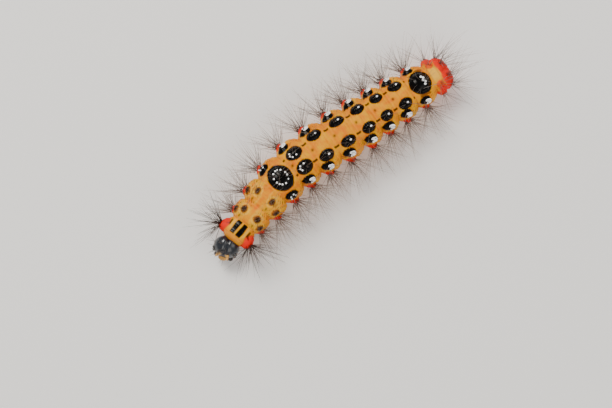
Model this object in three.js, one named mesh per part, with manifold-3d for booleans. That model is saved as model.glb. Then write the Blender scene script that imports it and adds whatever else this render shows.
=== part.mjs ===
// A hairy moth larva at life size, standing on its legs with the body in a gentle curve.
// Millimetres. The head faces -Y, the larva's left side is +X and the floor is z = 0.
import * as THREE from "three";
import { mergeVertices } from "three/addons/utils/BufferGeometryUtils.js";
import Module from "manifold-3d";

const wasm = await Module();
wasm.setup();

// Driving sizes
const GAP = 0.3; // clearance between neighbouring pieces
const BELLY_CLEARANCE = 0.95; // floor to underside
const HEAD_LENGTH = 2.6; // front of the face to the first ring
const FOLD_DEPTH = 0.13; // share of the radius lost in the fold between two rings
const LOBE_RISE = 0.1; // share of the radius by which a ring with side warts bulges beside them
const LOBE_REACH = 34; // degrees from the bulge's middle to its edge
const WART_FORWARD = 0.22; // share of the ring's length that the side warts stand ahead of its middle
const SECTION_EXPONENT = 0.9; // below 1 the body's section is a little fuller than an ellipse
const SEAM_WIDTH = 0.2; // half width of the head's seam, as a share of the head
const SEAM_DEPTH = 0.13;
const SPOT_THICKNESS = 0.42; // half thickness of a black back wart
const SPOT_SINK = 0.12; // its centre below the skin
const SHOULDER_HALF = [0.62, 0.62, 0.82]; // half sizes of a shoulder wart: across, along, outwards
const SMOOTHING = 0.02; // largest shift when small facets are merged

// Angles on the body, in degrees from the top of the back
const OUTER_WART_ANGLE = 57;
const SIDE_WART_ANGLE = 88;
const LOW_TUFT_ANGLE = 118;
const LOBE_ANGLE = 82;
const SHOULDER_ANGLE = 76;

// Bundles of hairs
const HAIR_ROOT = 0.3; // radius where a bundle leaves the skin
const HAIR_SINK = 0.3; // depth of its root below the skin
const HAIR_FLOOR = 0.4; // lowest height of its centre line
const HAIR_TAPER = 1.6; // above 1 the bundle keeps its thickness for longer
const HAIR_ATTEMPTS = 14;
const LENGTHS = { side: 4.4, outer: 3, low: 2.4, back: 2.6, shoulder: 4.2, ninth: 4.1, tail: 4.8 };
const COUNTS = { side: 3, outer: 1, low: 1, pair: 1, single: 3, shoulder: 5, ninth: 2, tail: 3 };

// The middle of the back seen from above, from the head to the tail end
const BACK_POINTS = [[1.0, -15.5], [0.0, -9.3], [-0.75, -2.8], [0.3, 5.4], [1.35, 12.6], [2.1, 17]];

// Body rings from front to back: name, length along the back, width and height, then what grows on
// them. sideWart is the radius of the red side warts. spot is the black wart on the back, with its
// half width across the body, its half length along it and its angle from the top in degrees.
const RINGS = [
  ["thorax_1", 1.95, 3.3, 3.1, { leg: true }],
  ["thorax_2", 2.2, 3.8, 3.6, { leg: true, sideWart: 0.4 }],
  ["thorax_3", 2.55, 4.5, 4.1, { leg: true, sideWart: 0.45 }],
  ["abdomen_1", 2.8, 5.0, 4.5, { sideWart: 0.5, spot: [1.3, 1.08, 0] }],
  ["abdomen_2", 2.7, 5.2, 4.6, { sideWart: 0.5, spot: [0.58, 0.8, 21] }],
  ["abdomen_3", 2.8, 5.3, 4.7, { sideWart: 0.5, spot: [0.55, 0.72, 28], proleg: true }],
  ["abdomen_4", 2.8, 5.4, 4.7, { sideWart: 0.5, spot: [0.52, 0.75, 26], proleg: true }],
  ["abdomen_5", 2.45, 5.3, 4.6, { sideWart: 0.5, spot: [0.52, 0.68, 25], proleg: true }],
  ["abdomen_6", 2.25, 5.0, 4.4, { sideWart: 0.48, spot: [0.52, 0.62, 25], proleg: true }],
  ["abdomen_7", 2.6, 4.7, 4.2, { sideWart: 0.46, spot: [0.52, 0.68, 27] }],
  ["abdomen_8", 2.6, 4.3, 3.9, { sideWart: 0.44, spot: [1.12, 1.05, 0] }],
  ["abdomen_9", 1.15, 3.8, 3.4, { ninthWarts: [35, 82] }],
  ["abdomen_10", 1.45, 3.3, 2.8, { tailWarts: [24, 70] }],
].map(([name, length, width, height, grows]) => ({ name, length, width, height, ...grows }));

// The head's place along the back, the height of its centre, its turn to the left, how far the face
// tips upwards, and its half width, depth and height
const HEAD = { s: 1.55, z: 2.25, yaw: 18, tilt: -42, half: [1.42, 1.05, 1.36] };

const COLOURS = {
  orange: "#f2a216",
  thorax: "#eba53a",
  red: "#e2452b",
  black: "#100d0c",
  head: "#17171a",
  cream: "#e9b55f",
  leg: "#3b261b",
};
const SIDES = [["left", 1], ["right", -1]];

const V = (x, y, z) => new THREE.Vector3(x, y, z);
const cross = (a, b) => V(0, 0, 0).crossVectors(a, b);
const moved = (point, direction, distance) => point.clone().addScaledVector(direction, distance);
const rad = THREE.MathUtils.degToRad;
const lerp = THREE.MathUtils.lerp;

// One seeded stream of random numbers, so that the hairs fall the same way every time.
let seed = 7;
function random() {
  seed = (seed * 1664525 + 1013904223) % 4294967296;
  return seed / 4294967296;
}
const between = (low, high) => low + (high - low) * random();

const backLine = new THREE.CatmullRomCurve3(BACK_POINTS.map(([x, y]) => V(x, y, 0)));
backLine.arcLengthDivisions = 400;
const backLength = backLine.getLength();

// Width or height of the body at a distance along the back, without the folds.
function bodySize(s, key) {
  const next = RINGS.findIndex((ring) => ring.middle > s);
  if (next === 0) return RINGS[0][key];
  if (next < 0) return RINGS[RINGS.length - 1][key];
  const [a, b] = [RINGS[next - 1], RINGS[next]];
  return lerp(a[key], b[key], (s - a.middle) / (b.middle - a.middle));
}

// Centre and directions of the body's section at a distance along the back.
function sectionAt(s) {
  const u = THREE.MathUtils.clamp(s / backLength, 0, 1);
  const along = backLine.getTangentAt(u);
  const centre = backLine.getPointAt(u).setZ(BELLY_CLEARANCE + bodySize(s, "height") / 2);
  return { centre, along, left: V(along.y, -along.x, 0), up: V(0, 0, 1) };
}

// A point of the skin. angle runs from the top of the back towards the left side, in radians.
function skinPoint(s, angle, share = 1, grow = 0) {
  const { centre, left, up } = sectionAt(s);
  const rounded = (value) => Math.sign(value) * Math.abs(value) ** SECTION_EXPONENT;
  const wide = (bodySize(s, "width") / 2) * share + grow;
  const high = (bodySize(s, "height") / 2) * share + grow;
  return moved(moved(centre, left, wide * rounded(Math.sin(angle))), up, high * rounded(Math.cos(angle)));
}

// The place and directions of something set on the skin: across, along and outwards.
function seatAt(s, degrees, side, lift = 0) {
  const angle = rad(degrees * side);
  const { along } = sectionAt(s);
  const across = skinPoint(s, angle + 0.02).sub(skinPoint(s, angle - 0.02)).normalize();
  const out = cross(across, along).normalize();
  return { point: moved(skinPoint(s, angle), out, lift), across, along, out, side };
}

// The same seat leaning towards the head (negative) or the tail (positive).
function leaning(seat, lean) {
  const out = moved(seat.out, seat.along, lean).normalize();
  return { ...seat, out, along: cross(out, seat.across) };
}

function solidOf(geometry) {
  const bare = geometry.clone();
  bare.deleteAttribute("normal");
  bare.deleteAttribute("uv");
  const merged = mergeVertices(bare, 1e-4);
  const vertProperties = new Float32Array(merged.attributes.position.array);
  const triVerts = new Uint32Array(merged.index.array);
  return new wasm.Manifold(new wasm.Mesh({ numProp: 3, vertProperties, triVerts }));
}

// Moves every vertex of a simple shape to the place that the function gives for it.
function reshape(geometry, place) {
  const position = geometry.attributes.position;
  for (let i = 0; i < position.count; i++) {
    const p = place(V(0, 0, 0).fromBufferAttribute(position, i));
    position.setXYZ(i, p.x, p.y, p.z);
  }
  return solidOf(geometry);
}

const largest = (solid) => solid.decompose().sort((a, b) => b.volume() - a.volume())[0];
const joined = (solids) => largest(wasm.Manifold.union(solids).simplify(SMOOTHING));
const grown = (half) => half.map((size) => size + GAP);

// An ellipsoid set on the skin, with half sizes across, along and outwards.
function dome(seat, [across, along, out], columns = 8, rows = 5) {
  return reshape(new THREE.SphereGeometry(1, columns, rows), (p) => {
    const onSkin = moved(moved(seat.point, seat.across, p.x * across), seat.along, -p.z * along);
    return moved(onSkin, seat.out, p.y * out);
  });
}

// A rounded limb along a curve. radiusAt gives its radius from 0 at the root to 1 at the tip.
function limb(curve, radiusAt, around, steps) {
  const chord = curve.getPoint(1).sub(curve.getPoint(0)).setZ(0.001);
  const side = V(0, 0, 1).cross(chord).normalize();
  return reshape(new THREE.CylinderGeometry(1, 1, 1, around, steps), (p) => {
    const t = p.y + 0.5;
    const depth = cross(side, curve.getTangent(t)).normalize();
    const r = radiusAt(t);
    return moved(moved(curve.getPoint(t), side, p.x * r), depth, p.z * r);
  });
}

// How much of the full radius a ring has at t, from 0 at its front to 1 at its back.
function ringBulge(ring, t) {
  const fold = 1 - FOLD_DEPTH * Math.abs(2 * t - 1) ** 3;
  return ring.tailWarts ? fold * Math.sqrt(Math.max(0.02, 1 - t ** 2.6)) : fold;
}

// How far a ring with side warts bulges at an angle from the top of the back.
function sideLobe(ring, t, angle) {
  if (!ring.sideWart) return 1;
  const away = (THREE.MathUtils.radToDeg(Math.abs(angle)) - LOBE_ANGLE) / LOBE_REACH;
  return 1 + LOBE_RISE * Math.max(0, 1 - away ** 2) * (1 - (2 * t - 1) ** 2);
}

// A body ring, grown on all sides when it is used to cut what meets it.
function ringSolid(ring, grow = 0) {
  const inset = GAP / 2 - grow;
  return reshape(new THREE.CylinderGeometry(1, 1, 1, 16, 4), (p) => {
    const t = p.y + 0.5;
    const s = lerp(ring.start + inset, ring.end - inset, t);
    const angle = Math.atan2(p.x, p.z);
    const share = Math.hypot(p.x, p.z) * ringBulge(ring, t) * sideLobe(ring, t, angle);
    return skinPoint(s, angle, share, share * grow);
  });
}

let reached = HEAD_LENGTH;
for (const ring of RINGS) {
  ring.start = reached;
  ring.middle = reached + ring.length / 2;
  reached += ring.length;
  ring.end = reached;
  ring.number = ring.name.split("_")[1];
}
for (const ring of RINGS) ring.section = sectionAt(ring.middle);

// Hairs: each bundle is a slender tapered spine, bent along its length. A bundle that would come too
// near the hair or body of another piece is turned, and left out when no turn clears it.
const hairs = [];
const obstacles = [];
const STATIONS = Array.from({ length: 12 }, (_, i) => i / 11);
const LEAVES_SKIN = 3; // first station that has to clear the bodies
const hairRadius = (t) => HAIR_ROOT * (1 - t ** HAIR_TAPER);

function clearOfBody(point, radius, owner) {
  if (point.z < HAIR_FLOOR) return false;
  for (const { centre, size, name } of obstacles) {
    if (name !== owner && point.distanceTo(centre) < size + radius + GAP) return false;
  }
  return RINGS.every((ring) => {
    if (ring.name === owner) return true;
    const { centre, along, left } = ring.section;
    const offset = point.clone().sub(centre);
    const margin = radius + GAP;
    if (Math.abs(offset.dot(along)) > ring.length / 2 + margin) return true;
    const across = offset.dot(left) / ((ring.width / 2) * (1 + LOBE_RISE) + margin);
    return Math.hypot(across, offset.z / (ring.height / 2 + margin)) > 1;
  });
}

function clearOfHairs(hair) {
  return hairs.every((other) => other.owner === hair.owner || hair.points.every((a, i) =>
    other.points.every((b, j) => a.distanceTo(b) > hair.radii[i] + other.radii[j] + GAP)
  ));
}

function addHair(owner, rootPoint, direction, length, droop) {
  const root = moved(rootPoint, direction, -HAIR_SINK);
  const whole = length + HAIR_SINK;
  const path = (t) => moved(root, direction, whole * t).add(V(0, 0, -droop * t * t));
  const hair = { owner, points: STATIONS.map(path), radii: STATIONS.map(hairRadius) };
  const clear = hair.points.every((point, i) =>
    i < LEAVES_SKIN || clearOfBody(point, hair.radii[i], owner)
  );
  if (!clear || !clearOfHairs(hair)) return null;
  hairs.push(hair);
  const side = V(-direction.y, direction.x, 0.01).normalize();
  const third = cross(side, direction).normalize();
  return reshape(new THREE.CylinderGeometry(0, 1, 1, 3, 2), (p) => {
    const t = p.y + 0.5;
    const turn = Math.atan2(p.x, p.z);
    const r = p.x === 0 && p.z === 0 ? 0 : hairRadius(t);
    return moved(moved(path(t), side, r * Math.sin(turn)), third, r * Math.cos(turn));
  });
}

// A tuft that fans out of one wart. spread is how far its roots stand from the wart's middle, sweep
// the fan's half angle fore and aft, and rise its range of angles above the wart's own direction.
function tuft(owner, seat, { count, length, spread, sweep, rise, droop = 0.5 }) {
  const found = [];
  for (let i = 0; i < count; i++) {
    for (let attempt = 0; attempt < HAIR_ATTEMPTS; attempt++) {
      const turn = rad(lerp(-sweep, sweep, (i + between(0.2, 0.8)) / count));
      const lift = rad(between(rise[0], rise[1]));
      const upwards = -Math.sin(lift) * seat.side;
      const direction = seat.out.clone().multiplyScalar(Math.cos(turn) * Math.cos(lift))
        .addScaledVector(seat.along, Math.sin(turn))
        .addScaledVector(seat.across, upwards)
        .normalize();
      const beside = moved(seat.point, seat.along, spread * Math.sin(turn));
      const root = moved(beside, seat.across, spread * upwards);
      const hair = addHair(owner, root, direction, length * between(0.85, 1), droop * between(0.3, 1));
      if (!hair) continue;
      found.push(hair);
      break;
    }
  }
  return found;
}

const solids = new Map();
function addPiece(name, solid, colour, roughness) {
  solids.set(name, { solid, colour, roughness });
}

// Head: two rounded lobes with a seam between them, tilted so that the face looks up and forwards.
const headTurn = new THREE.Matrix4();
{
  const { centre, along } = sectionAt(HEAD.s);
  const heading = Math.atan2(-along.x, along.y);
  headTurn.makeRotationZ(heading + rad(HEAD.yaw))
    .multiply(new THREE.Matrix4().makeRotationX(rad(HEAD.tilt)))
    .setPosition(centre.x, centre.y, HEAD.z);
}
const inHead = (x, y, z) => V(x, y, z).applyMatrix4(headTurn);

// A seat on the head's surface in the direction given, in the head's own frame.
function headSeat(x, y, z, sink = 0) {
  const [a, b, c] = HEAD.half;
  const d = V(x, y, z).normalize();
  const reach = 1 / Math.hypot(d.x / a, d.y / b, d.z / c);
  const out = V(d.x / a ** 2, d.y / b ** 2, d.z / c ** 2).normalize();
  const across = V(0, 0, 1).cross(out).normalize().negate();
  const turned = (v) => v.clone().transformDirection(headTurn);
  return {
    point: moved(d.multiplyScalar(reach), out, -sink).applyMatrix4(headTurn),
    across: turned(across),
    along: turned(cross(out, across)),
    out: turned(out),
  };
}

function headCapsule() {
  return reshape(new THREE.SphereGeometry(1, 16, 12), (p) => {
    const onTop = THREE.MathUtils.smoothstep(p.y, -0.35, 0.3);
    const seam = 1 - SEAM_DEPTH * onTop * Math.exp(-((p.x / SEAM_WIDTH) ** 2));
    const jaw = p.y < 0 ? 1 + 0.16 * p.y : 1;
    return inHead(
      p.x * HEAD.half[0] * seam * jaw,
      -p.z * HEAD.half[1] * seam,
      p.y * HEAD.half[2] * seam,
    );
  });
}

// Mouth parts and eye patches, each with the pocket that it sits in
const MOUTH = { name: "labrum", colour: "cream", seat: headSeat(0, -0.62, -0.8), half: [0.48, 0.3, 0.3] };
const HEAD_PIECES = [MOUTH, ...SIDES.flatMap(([side, sign]) => [
  {
    name: `mandible_${side}`,
    colour: "leg",
    seat: headSeat(0.68 * sign, -0.16, -0.98),
    half: [0.32, 0.3, 0.34],
  },
  {
    name: `stemmata_${side}`,
    colour: "black",
    seat: headSeat(0.98 * sign, -0.42, -0.22, 0.08),
    half: [0.26, 0.4, 0.22],
    eyes: sign,
  },
])];

// Six tiny eyes in an open curve on a shared patch.
function eyePatch({ seat, half, eyes }) {
  const EYE_COUNT = 6;
  const bumps = Array.from({ length: EYE_COUNT }, (_, i) => {
    const turn = rad(lerp(-130, 130, i / (EYE_COUNT - 1)));
    const onPatch = moved(moved(seat.point, seat.across, 0.13 * Math.cos(turn) * eyes), seat.out, 0.14);
    const point = moved(onPatch, seat.along, 0.24 * Math.sin(turn));
    return dome({ ...seat, point }, [0.08, 0.08, 0.1], 4, 3);
  });
  return joined([dome(seat, half), ...bumps]);
}

// A feeler of three joints, set in a socket of the head.
function feelerCurve(sign) {
  const seat = headSeat(0.5 * sign, -0.95, -0.34);
  const tip = moved(moved(seat.point, seat.out, 0.8), seat.along, -0.12);
  return new THREE.LineCurve3(moved(seat.point, seat.out, -0.25), tip);
}
const feelerRadius = (t) => (t < 0.45 ? 0.24 : t < 0.8 ? 0.17 : 0.1);

let capsule = headCapsule().subtract(ringSolid(RINGS[0], GAP));
for (const piece of HEAD_PIECES) {
  capsule = capsule.subtract(dome(piece.seat, grown(piece.half)));
  addPiece(piece.name, piece.eyes ? eyePatch(piece) : dome(piece.seat, piece.half), piece.colour, 0.3);
}
for (const [side, sign] of SIDES) {
  const curve = feelerCurve(sign);
  const socket = limb(curve, () => feelerRadius(0) + GAP, 7, 1);
  capsule = capsule.subtract(socket.translate(moved(V(0, 0, 0), curve.getTangent(0), -GAP).toArray()));
  addPiece(`antenna_${side}`, limb(curve, feelerRadius, 7, 5), "cream", 0.4);
}
addPiece("head", joined([capsule]), "head", 0.25);
obstacles.push({ name: "head", centre: inHead(0, 0, 0), size: HEAD.half[0] });

// Legs of the thorax: tapering, bent outwards and forwards, with the claw on the floor.
function trueLeg({ centre, along, left }, sign) {
  const at = (out, forward, z) => moved(moved(centre.clone().setZ(z), left, out * sign), along, -forward);
  const curve = new THREE.CatmullRomCurve3([
    at(0.55, 0, 1.5), at(1.15, 0.1, 0.95), at(1.45, 0.35, 0.5), at(1.25, 0.6, -0.12),
  ]);
  return limb(curve, (t) => 0.4 - 0.24 * t + 0.05 * Math.cos(t * 6 * Math.PI), 6, 6);
}

// Soft legs of the belly: a fleshy stalk that spreads into a flat sole.
function proleg({ centre, along, left }, sign, outwards, back) {
  const at = (out, z) => moved(moved(centre.clone().setZ(z), left, out * sign), along, back);
  const curve = new THREE.CatmullRomCurve3([
    at(outwards * 0.72, 1.9), at(outwards * 0.95, 0.9), at(outwards, 0.32), at(outwards, -0.1),
  ]);
  const spread = (t) => 0.12 * THREE.MathUtils.smoothstep(t, 0.72, 0.95);
  return limb(curve, (t) => 0.62 - 0.2 * Math.sin(t * Math.PI * 0.75) + spread(t), 8, 6);
}

for (const ring of RINGS) {
  if (!ring.leg && !ring.proleg && !ring.tailWarts) continue;
  const outwards = ring.tailWarts ? 0.8 : 1.3;
  for (const [side, sign] of SIDES) {
    const whole = ring.leg
      ? trueLeg(ring.section, sign)
      : proleg(ring.section, sign, outwards, ring.tailWarts ? -0.1 : 0);
    const standing = largest(whole.trimByPlane([0, 0, 1], 0).subtract(ringSolid(ring, GAP)));
    const name = `${ring.leg ? "leg" : "proleg"}_${ring.number}_${side}`;
    addPiece(name, standing, ring.leg ? "leg" : "orange", ring.leg ? 0.35 : 0.6);
    const centre = moved(ring.section.centre.clone().setZ(0.6), ring.section.left, outwards * sign);
    obstacles.push({ name, centre, size: ring.leg ? 0.6 : 0.75 });
  }
}

// Shoulder warts: the large red pair beside the neck, each with a brush of hairs swept forwards.
const shoulders = SIDES.map(([side, sign]) => {
  const seat = leaning(seatAt(RINGS[0].start + 0.72, SHOULDER_ANGLE, sign, 0.15), -0.55);
  return { ...seat, name: `shoulder_wart_${side}` };
});
for (const seat of shoulders) {
  const fan = { ...seat, point: moved(seat.point, seat.out, 0.5) };
  const brush = tuft(seat.name, fan, {
    count: COUNTS.shoulder, length: LENGTHS.shoulder, spread: 0.35, sweep: 60, rise: [-28, 46], droop: 0.7,
  });
  addPiece(seat.name, joined([dome(seat, SHOULDER_HALF), ...brush]), "red", 0.55);
  obstacles.push({ name: seat.name, centre: seat.point, size: SHOULDER_HALF[2] });
}

// The red wart low on each side, the smaller black one above it and the short hairs below it.
function sideGrowth(ring, sign) {
  const size = ring.sideWart;
  const s = ring.middle - WART_FORWARD * ring.length;
  const bulge = (LOBE_RISE * ring.width) / 2;
  const red = seatAt(s, SIDE_WART_ANGLE, sign, bulge);
  const outer = seatAt(s, OUTER_WART_ANGLE, sign, bulge * 0.4);
  const fan = { ...red, point: moved(red.point, red.out, size * 0.4) };
  return [
    dome(red, [size, size, size * 0.8], 7, 4),
    dome(outer, [size * 0.7, size * 1.15, 0.24], 7, 4),
    ...tuft(ring.name, fan, {
      count: COUNTS.side, length: LENGTHS.side, spread: 0.3, sweep: 48, rise: [-18, 38],
    }),
    ...tuft(ring.name, outer, {
      count: COUNTS.outer, length: LENGTHS.outer, spread: 0.1, sweep: 35, rise: [-5, 20], droop: 0.2,
    }),
    ...tuft(ring.name, seatAt(s, LOW_TUFT_ANGLE, sign), {
      count: COUNTS.low, length: LENGTHS.low, spread: 0.1, sweep: 30, rise: [10, 34], droop: 0,
    }),
  ];
}

function ninthGrowth(ring, sign) {
  return ring.ninthWarts.flatMap((degrees) => {
    const seat = seatAt(ring.middle, degrees, sign);
    const fan = { count: COUNTS.ninth, length: LENGTHS.ninth, spread: 0.2, sweep: 34, rise: [-15, 25] };
    return [dome(seat, [0.42, 0.34, 0.3]), ...tuft(ring.name, seat, fan)];
  });
}

function tailGrowth(ring, sign) {
  return ring.tailWarts.flatMap((degrees) => {
    const seat = leaning(seatAt(ring.start + 0.6, degrees, sign), 1.3);
    const fan = { count: COUNTS.tail, length: LENGTHS.tail, spread: 0.25, sweep: 40, rise: [-20, 34] };
    return [dome(seat, [0.5, 0.42, 0.52]), ...tuft(ring.name, seat, fan)];
  });
}

// Black warts of the back: a pair on most rings, a single large one on the first and the eighth.
function backWarts(ring) {
  const [across, along, degrees] = ring.spot;
  const paired = degrees > 0;
  const half = [across, along, SPOT_THICKNESS];
  const hair = paired
    ? { count: COUNTS.pair, length: LENGTHS.back, spread: 0.15, sweep: 30, rise: [-14, 16], droop: 0 }
    : { count: COUNTS.single, length: LENGTHS.back, spread: 0.6, sweep: 48, rise: [-38, 38], droop: 0 };
  return (paired ? SIDES : [["", 1]]).map(([side, sign]) => {
    const seat = seatAt(ring.middle, degrees, sign, -SPOT_SINK);
    const name = ["back_wart", ring.number, side].filter(Boolean).join("_");
    const top = { ...seat, point: moved(seat.point, seat.out, SPOT_THICKNESS * 0.5) };
    addPiece(name, joined([dome(seat, half, 10, 6), ...tuft(name, top, hair)]), "black", 0.35);
    return dome(seat, grown(half), 10, 6);
  });
}

for (const ring of RINGS) {
  let body = ringSolid(ring);
  const pockets = ring.spot ? backWarts(ring) : [];
  if (ring === RINGS[0]) pockets.push(...shoulders.map((seat) => dome(seat, grown(SHOULDER_HALF))));
  for (const pocket of pockets) body = body.subtract(pocket);
  const growth = [];
  for (const [, sign] of SIDES) {
    if (ring.sideWart) growth.push(...sideGrowth(ring, sign));
    if (ring.ninthWarts) growth.push(...ninthGrowth(ring, sign));
    if (ring.tailWarts) growth.push(...tailGrowth(ring, sign));
  }
  const colour = ring.tailWarts ? "red" : ring.leg ? "thorax" : "orange";
  addPiece(ring.name, joined([largest(body), ...growth]), colour, 0.55);
}

const group = new THREE.Group();
for (const [name, { solid, colour, roughness }] of solids) {
  const made = solid.getMesh();
  const geometry = new THREE.BufferGeometry();
  geometry.setAttribute("position", new THREE.BufferAttribute(new Float32Array(made.vertProperties), 3));
  geometry.setIndex(new THREE.BufferAttribute(new Uint32Array(made.triVerts), 1));
  geometry.computeVertexNormals();
  const material = new THREE.MeshStandardMaterial({ color: COLOURS[colour], roughness, metalness: 0 });
  const mesh = new THREE.Mesh(geometry, material);
  mesh.name = name;
  group.add(mesh);
}

// The origin is the middle of the whole model's footprint, on the floor.
const box = new THREE.Box3().setFromObject(group);
const middle = box.getCenter(V(0, 0, 0));
group.position.set(-middle.x, -middle.y, -box.min.z);

export default group;
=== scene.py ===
import math

import bpy
import numpy as np
from bpy.props import FloatProperty, FloatVectorProperty, IntProperty, PointerProperty
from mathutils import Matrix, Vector


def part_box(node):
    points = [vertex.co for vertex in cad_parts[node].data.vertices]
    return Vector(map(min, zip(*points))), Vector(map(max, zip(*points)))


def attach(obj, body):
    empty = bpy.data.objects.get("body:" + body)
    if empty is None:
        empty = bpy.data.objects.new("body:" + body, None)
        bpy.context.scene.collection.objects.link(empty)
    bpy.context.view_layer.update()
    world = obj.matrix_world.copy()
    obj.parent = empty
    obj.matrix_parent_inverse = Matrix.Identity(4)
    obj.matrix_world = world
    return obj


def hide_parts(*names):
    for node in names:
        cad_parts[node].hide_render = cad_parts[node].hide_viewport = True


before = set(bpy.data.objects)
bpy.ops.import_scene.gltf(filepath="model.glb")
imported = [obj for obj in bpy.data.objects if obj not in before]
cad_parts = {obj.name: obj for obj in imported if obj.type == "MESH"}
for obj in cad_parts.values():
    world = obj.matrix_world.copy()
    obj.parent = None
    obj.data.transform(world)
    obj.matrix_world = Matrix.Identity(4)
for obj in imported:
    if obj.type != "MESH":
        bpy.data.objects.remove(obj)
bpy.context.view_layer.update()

bl_info = {
    "name": "Hairy moth larva",
    "version": (1, 0, 0),
    "blender": (4, 2, 0),
    "location": "View3D > Sidebar > Larva",
    "description": "Dresses the larva's frame with skin, warts, hairs, head and legs",
    "category": "Add Mesh",
}

# The body's own measures, in millimetres, as the solids have them
MM = 0.001
BELLY_CLEARANCE = 0.95
HEAD_LENGTH = 2.6
SECTION_EXPONENT = 0.9
HEAD_MIDDLE = np.array([0.69803, -13.97256, 2.21131])  # of the head's box, in the body's own frame
BACK_POINTS = np.array([[1.0, -15.5], [0.0, -9.3], [-0.75, -2.8], [0.3, 5.4], [1.35, 12.6], [2.1, 17.0]])
RING_NAMES = ["thorax_%d" % i for i in (1, 2, 3)] + ["abdomen_%d" % i for i in range(1, 11)]
# One value for each ring: length, width, height and half size of its side warts
LENGTHS = [1.95, 2.2, 2.55, 2.8, 2.7, 2.8, 2.8, 2.45, 2.25, 2.6, 2.6, 1.15, 1.45]
WIDTHS = [3.3, 3.8, 4.5, 5.0, 5.2, 5.3, 5.4, 5.3, 5.0, 4.7, 4.3, 3.8, 3.3]
HEIGHTS = [3.1, 3.6, 4.1, 4.5, 4.6, 4.7, 4.7, 4.6, 4.4, 4.2, 3.9, 3.4, 2.8]
SIDE_WARTS = [0, 0.4, 0.45, 0.5, 0.5, 0.5, 0.5, 0.5, 0.48, 0.46, 0.44, 0, 0]
# Black back warts by ring: half width, half length and angle from the top in degrees
SPOTS = {3: (1.3, 1.08, 0), 4: (0.66, 0.8, 20), 5: (0.55, 0.72, 28), 6: (0.52, 0.75, 26),
         7: (0.52, 0.68, 25), 8: (0.52, 0.62, 25), 9: (0.52, 0.68, 27), 10: (1.12, 1.05, 0)}
THORAX_1, THORAX_2, THORAX_3, ABDOMEN_1, ABDOMEN_2 = range(5)
ABDOMEN_6, ABDOMEN_7, ABDOMEN_8, ABDOMEN_9, ABDOMEN_10 = range(8, 13)
PROLEG_RINGS = (5, 6, 7, 8)
SPOT_RISE = 0.3
SHOULDER_HALF = (0.74, 0.72, 0.6)
NINTH_WARTS = ((35, 0.42, 0.17), (78, 0.66, 0.3))  # angle, half size and rise
TAIL_ANGLES, TAIL_LEAN, TAIL_WART = (24, 70), 1.3, (0.66, 0.5, 0.24)
# Angles run from the top in degrees. The side warts stand on a low lobe of each ring
SHOULDER_ANGLE, OUTER_ANGLE, SIDE_ANGLE, LOW_ANGLE = 76, 57, 88, 118
LOBE_ANGLE, LOBE_REACH, LOBE_RISE, WART_FORWARD = 82, 34, 0.1, 0.22
SIDES = (("left", 1), ("right", -1))
PATCH = 0.003  # size of one hair's patch on the unwrap of the skin
TURN = 2 * math.pi

STARTS = HEAD_LENGTH + np.concatenate([[0], np.cumsum(LENGTHS)])
MIDDLES = (STARTS[1:] + STARTS[:-1]) / 2
BODY_END = STARTS[-1]
NECK = HEAD_LENGTH - 0.35
rng = np.random.default_rng(11)


def back_table():
    """The back's middle line seen from above, with the distance along it."""
    before = 2 * BACK_POINTS[0] - BACK_POINTS[1]
    after = 2 * BACK_POINTS[-1] - BACK_POINTS[-2]
    ends = np.vstack([before, BACK_POINTS, after])
    rows = []
    t = np.linspace(0, 1, 200, endpoint=False)[:, None]
    for p0, p1, p2, p3 in zip(ends, ends[1:], ends[2:], ends[3:]):
        k0, k1, k2 = (np.linalg.norm(b - a) ** 0.5 for a, b in ((p0, p1), (p1, p2), (p2, p3)))
        m1 = ((p1 - p0) / k0 - (p2 - p0) / (k0 + k1) + (p2 - p1) / k1) * k1
        m2 = ((p2 - p1) / k1 - (p3 - p1) / (k1 + k2) + (p3 - p2) / k2) * k1
        square = -3 * p1 + 3 * p2 - 2 * m1 - m2
        cube = 2 * p1 - 2 * p2 + m1 + m2
        rows.append(p1 + m1 * t + square * t ** 2 + cube * t ** 3)
    line = np.vstack(rows + [BACK_POINTS[-1:]])
    steps = np.linalg.norm(np.diff(line, axis=0), axis=1)
    return line, np.concatenate([[0], np.cumsum(steps)])


BACK_LINE, BACK_REACH = back_table()
ALONG_LINE = np.gradient(BACK_LINE, axis=0)
ALONG_LINE /= np.linalg.norm(ALONG_LINE, axis=1)[:, None]


def unit(v):
    """Vectors made one long."""
    return v / np.maximum(np.linalg.norm(v, axis=-1, keepdims=True), 1e-9)


def smooth(x, low, high):
    """0 below low, 1 above high and an even rise between them."""
    x = np.clip((x - low) / (high - low), 0, 1)
    return x * x * (3 - 2 * x)


def section(s):
    """Centre, directions along and left, half width and half height of the body at distances s."""
    s = np.atleast_1d(np.asarray(s, float))
    reach = np.clip(s, 0, BACK_REACH[-1])
    x, y = (np.interp(reach, BACK_REACH, BACK_LINE[:, i]) for i in (0, 1))
    along = unit(np.stack([np.interp(reach, BACK_REACH, ALONG_LINE[:, 0]),
                           np.interp(reach, BACK_REACH, ALONG_LINE[:, 1]), 0 * s], -1))
    high = np.interp(s, MIDDLES, HEIGHTS)
    centre = np.stack([x, y, BELLY_CLEARANCE + high / 2], -1)
    left = np.stack([along[:, 1], -along[:, 0], 0 * s], -1)
    return centre, along, left, np.interp(s, MIDDLES, WIDTHS) / 2, high / 2


def rounded(v):
    """A sine or cosine that makes the section a little squarer than an ellipse."""
    return np.sign(v) * np.abs(v) ** SECTION_EXPONENT


def skin_point(s, angle, share=1.0):
    """Points of the skin in the body's own frame. angle runs from the top towards the left side."""
    centre, _, left, wide, high = section(s)
    angle = np.atleast_1d(angle)
    across = (wide * share * rounded(np.sin(angle)))[:, None] * left
    up = (high * share * rounded(np.cos(angle)))[:, None] * np.array([0, 0, 1.0])
    return centre + across + up


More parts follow.
